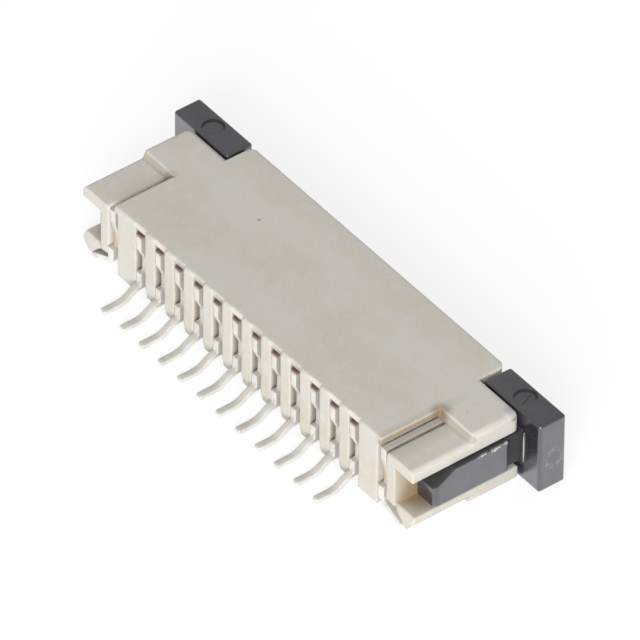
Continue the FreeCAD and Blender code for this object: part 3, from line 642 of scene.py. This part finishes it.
# Painted shade: the neck between arm and grip, shaded by the flange and the grip, is darkened to near
# black, in a box 0.7 mm long and
# 1.5 mm high.
neck_shade = add_node(tree, "ShaderNodeVectorMath", {
    0: folded.outputs[0], 1: [value * MM for value in NECK_MIDDLE],
}, operation="SUBTRACT")
neck_shade = add_node(tree, "ShaderNodeVectorMath", {
    0: neck_shade.outputs[0], 1: [1 / (value * MM) for value in NECK_REACH],
}, operation="MULTIPLY")
neck_shade = add_node(tree, "ShaderNodeVectorMath", {0: neck_shade.outputs[0]}, operation="ABSOLUTE")
neck_shade = add_node(tree, "ShaderNodeSeparateXYZ", {0: neck_shade.outputs[0]})
furthest = add_node(tree, "ShaderNodeMath", {0: neck_shade.outputs[0], 1: neck_shade.outputs[1]}, operation="MAXIMUM")
furthest = add_node(tree, "ShaderNodeMath", {
    0: furthest.outputs[0], 1: neck_shade.outputs[2],
}, operation="MAXIMUM")
neck_shade = add_node(tree, "ShaderNodeMapRange", {0: furthest.outputs[0], 1: 0.92, 2: 1.0, 3: 0.9, 4: 0.0})
# Painted shade: the ramp and the top of each arm are darkened and made rougher, as they lie in the shade of
# the flange.
ramp = add_node(tree, "ShaderNodeSeparateXYZ", {0: true_normal})
ramp = add_node(tree, "ShaderNodeMapRange", {0: ramp.outputs[2], 1: 0.25, 2: 0.45, 3: 0.0, 4: 0.7})
arm = mask_of_ramps(tree, 1.0, (deep, 1.70, 1.50), (across, 7.40, 7.50))
for mask in (arm, on_arm.outputs[0]):
    ramp = add_node(tree, "ShaderNodeMath", {0: ramp.outputs[0], 1: mask}, operation="MULTIPLY")
for mark in (cut, neck_shade.outputs[0], ramp.outputs[0]):
    shade_and_cut = add_node(tree, "ShaderNodeMath", {0: shade_and_cut.outputs[0], 1: mark}, operation="MAXIMUM")
colour = add_node(tree, "ShaderNodeMix", {
    0: shade_and_cut.outputs[0], 6: colour.outputs[2], 7: linear(BLACK_SHADE),
}, data_type="RGBA")
# The scuff on each end face is a broken ring, 0.35 mm in radius, left by handling.
away = add_node(tree, "ShaderNodeVectorMath", {
    0: folded.outputs[0], 1: [value * MM for value in SCUFF_MIDDLE],
}, operation="DISTANCE")
ring = mask_of_ramps(tree, 1.0, (away.outputs["Value"], 0.20, 0.34), (away.outputs["Value"], 0.48, 0.36))
broken = add_node(tree, "ShaderNodeTexNoise", {
    "Vector": place, "Scale": 1 / (0.12 * MM), "Detail": 3.0, "Roughness": 0.7,
})
broken = add_node(tree, "ShaderNodeMapRange", {0: broken.outputs["Fac"], 1: 0.46, 2: 0.62, 3: 0.0, 4: 0.5})
scuff = add_node(tree, "ShaderNodeMath", {0: ring, 1: broken.outputs[0]}, operation="MULTIPLY")
colour = add_node(tree, "ShaderNodeMix", {
    0: scuff.outputs[0], 6: colour.outputs[2], 7: linear(BLACK_SCUFFED),
}, data_type="RGBA")
# Painted shade: hollows darken to near black with ambient occlusion.
open_air = add_node(tree, "ShaderNodeAmbientOcclusion", {"Distance": 0.4 * MM}, samples=12, only_local=True)
deep_shade = add_node(tree, "ShaderNodeMapRange", {0: open_air.outputs["AO"], 1: 0.80, 2: 0.35, 3: 0.0, 4: 0.9})
colour = add_node(tree, "ShaderNodeMix", {
    0: deep_shade.outputs[0], 6: colour.outputs[2], 7: linear(BLACK_SHADE),
}, data_type="RGBA")
rough = add_node(tree, "ShaderNodeMapRange", {0: fibre.outputs["Fac"], 1: 0.25, 2: 0.75, 3: 0.18, 4: 0.30})
rough = add_node(tree, "ShaderNodeMapRange", {
    0: shade_and_cut.outputs[0], 1: 0.0, 2: 1.0, 3: rough.outputs[0], 4: 0.95,
})
fibre_bump = add_node(tree, "ShaderNodeBump", {
    "Strength": 0.30, "Distance": 0.006 * MM, "Height": fibre.outputs["Fac"], "Normal": rounded.outputs[0],
})
shader = add_node(tree, "ShaderNodeBsdfPrincipled", {
    "Base Color": colour.outputs[2], "Roughness": rough.outputs[0], "Normal": fibre_bump.outputs[0],
    "IOR": 1.75,
})
add_node(tree, "ShaderNodeOutputMaterial", {0: shader.outputs[0]})

slider = merged_copy("slider", "slider_moulding", lambda x: SLIDER_ROUNDING)
round_edges(slider, "slider", 3, False)
slider.data.materials.append(slide_plastic)
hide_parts("slider")
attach(slider, "slider")

# Stage. A white card table and a plain studio: a broad soft lamp low behind the
# camera, with an even white surround that gives the rest of the light. The camera sees
# the card nearly white, and glossy surfaces mirror it brighter than it lights the part.
TABLE_REACH = 0.8
CARD_GREY = (0.66, 0.66, 0.66, 1)
SEEN_GREY, SEEN_GLOW = (0.30, 0.30, 0.30, 1), 0.78
MIRRORED_TINT, MIRRORED_GLOW = (0.94, 0.95, 1.0, 1), 1.5
SURROUND_LIGHT, SURROUND_SEEN = 0.55, 1.0
# The lamp's place is in degrees and metres, its width in metres and its power in watts.
KEY_AZIMUTH, KEY_ELEVATION, KEY_DISTANCE = 45, 22, 0.5
KEY_SIZE, KEY_POWER = 0.30, 2.6

shape = bmesh.new()
bmesh.ops.create_grid(shape, x_segments=1, y_segments=1, size=TABLE_REACH)
mesh = bpy.data.meshes.new("table_top")
shape.to_mesh(mesh)
shape.free()
table = link_object("table_top", mesh)
white_table = blank_material("white_card_matte")
tree = white_table.node_tree
path = add_node(tree, "ShaderNodeLightPath")
mirrored = add_node(tree, "ShaderNodeMath", {
    0: path.outputs["Is Glossy Ray"], 1: path.outputs["Is Transmission Ray"],
}, operation="MAXIMUM")
card = add_node(tree, "ShaderNodeBsdfDiffuse", {"Color": CARD_GREY})
shaded = add_node(tree, "ShaderNodeBsdfDiffuse", {"Color": SEEN_GREY})
white = add_node(tree, "ShaderNodeEmission", {"Strength": SEEN_GLOW})
backdrop = add_node(tree, "ShaderNodeAddShader", {0: shaded.outputs[0], 1: white.outputs[0]})
bright = add_node(tree, "ShaderNodeEmission", {"Color": MIRRORED_TINT, "Strength": MIRRORED_GLOW})
reflection = add_node(tree, "ShaderNodeAddShader", {0: card.outputs[0], 1: bright.outputs[0]})
mix = add_node(tree, "ShaderNodeMixShader", {
    0: path.outputs["Is Camera Ray"], 1: card.outputs[0], 2: backdrop.outputs[0],
})
mix = add_node(tree, "ShaderNodeMixShader", {
    0: mirrored.outputs[0], 1: mix.outputs[0], 2: reflection.outputs[0],
})
add_node(tree, "ShaderNodeOutputMaterial", {0: mix.outputs[0]})
mesh.materials.append(white_table)
table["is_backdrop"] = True

surround = bpy.data.worlds.new("white_surround")
bpy.context.scene.world = surround
surround.use_nodes = True
tree = surround.node_tree
tree.nodes.clear()
path = add_node(tree, "ShaderNodeLightPath")
shown = add_node(tree, "ShaderNodeMath", {
    0: path.outputs["Is Camera Ray"], 1: path.outputs["Is Glossy Ray"],
}, operation="MAXIMUM")
shown = add_node(tree, "ShaderNodeMath", {
    0: shown.outputs[0], 1: path.outputs["Is Transmission Ray"],
}, operation="MAXIMUM")
fill = add_node(tree, "ShaderNodeBackground", {"Strength": SURROUND_LIGHT})
white = add_node(tree, "ShaderNodeBackground", {"Strength": SURROUND_SEEN})
mix = add_node(tree, "ShaderNodeMixShader", {0: shown.outputs[0], 1: fill.outputs[0], 2: white.outputs[0]})
add_node(tree, "ShaderNodeOutputWorld", {0: mix.outputs[0]})


def direction(azimuth, elevation):
    """Unit vector towards a place; azimuth 0 is behind the legs and 90 is to the right of them."""
    turn, lift = math.radians(azimuth), math.radians(elevation)
    return Vector((math.sin(turn) * math.cos(lift), -math.cos(turn) * math.cos(lift), math.sin(lift)))


lamp = bpy.data.lights.new("soft_key", "AREA")
lamp.shape = "DISK"
lamp.size = KEY_SIZE
lamp.energy = KEY_POWER
fitting = link_object("soft_key", lamp)
from_part = direction(KEY_AZIMUTH, KEY_ELEVATION)
fitting.location = from_part * KEY_DISTANCE
fitting.rotation_euler = from_part.to_track_quat("Z", "Y").to_euler()

# Camera. A long lens from behind and to the right, looking down at the part. Its
# picture is nearly parallel, and it is aimed a little to the right of the part's middle.
AZIMUTH, ELEVATION, ROLL = 52.236, 41.753, 0.424
CAMERA_DISTANCE = 450 * MM
AIM_HEIGHT, AIM_RIGHT, AIM_UP = 1.4 * MM, 0.801 * MM, 0.339 * MM
PIXELS_PER_MM = 31.942
SENSOR = 36
FRAME = 640
toward = direction(AZIMUTH, ELEVATION)
right = Vector((math.cos(math.radians(AZIMUTH)), math.sin(math.radians(AZIMUTH)), 0))
above = toward.cross(right)
aim = Vector((0, 0, AIM_HEIGHT)) + right * AIM_RIGHT + above * AIM_UP
camera = link_object("camera", bpy.data.cameras.new("camera"))
camera.location = aim + toward * CAMERA_DISTANCE
facing = toward.to_track_quat("Z", "Y").to_matrix() @ Matrix.Rotation(math.radians(ROLL), 3, "Z")
camera.rotation_euler = facing.to_euler()
camera.data.sensor_width = SENSOR
camera.data.lens = PIXELS_PER_MM * (CAMERA_DISTANCE / MM) / FRAME * SENSOR
camera.data.clip_start = 0.01
camera.data.clip_end = 5
bpy.context.scene.camera = camera
bpy.context.scene.view_settings.view_transform = "Standard"

low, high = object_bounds()
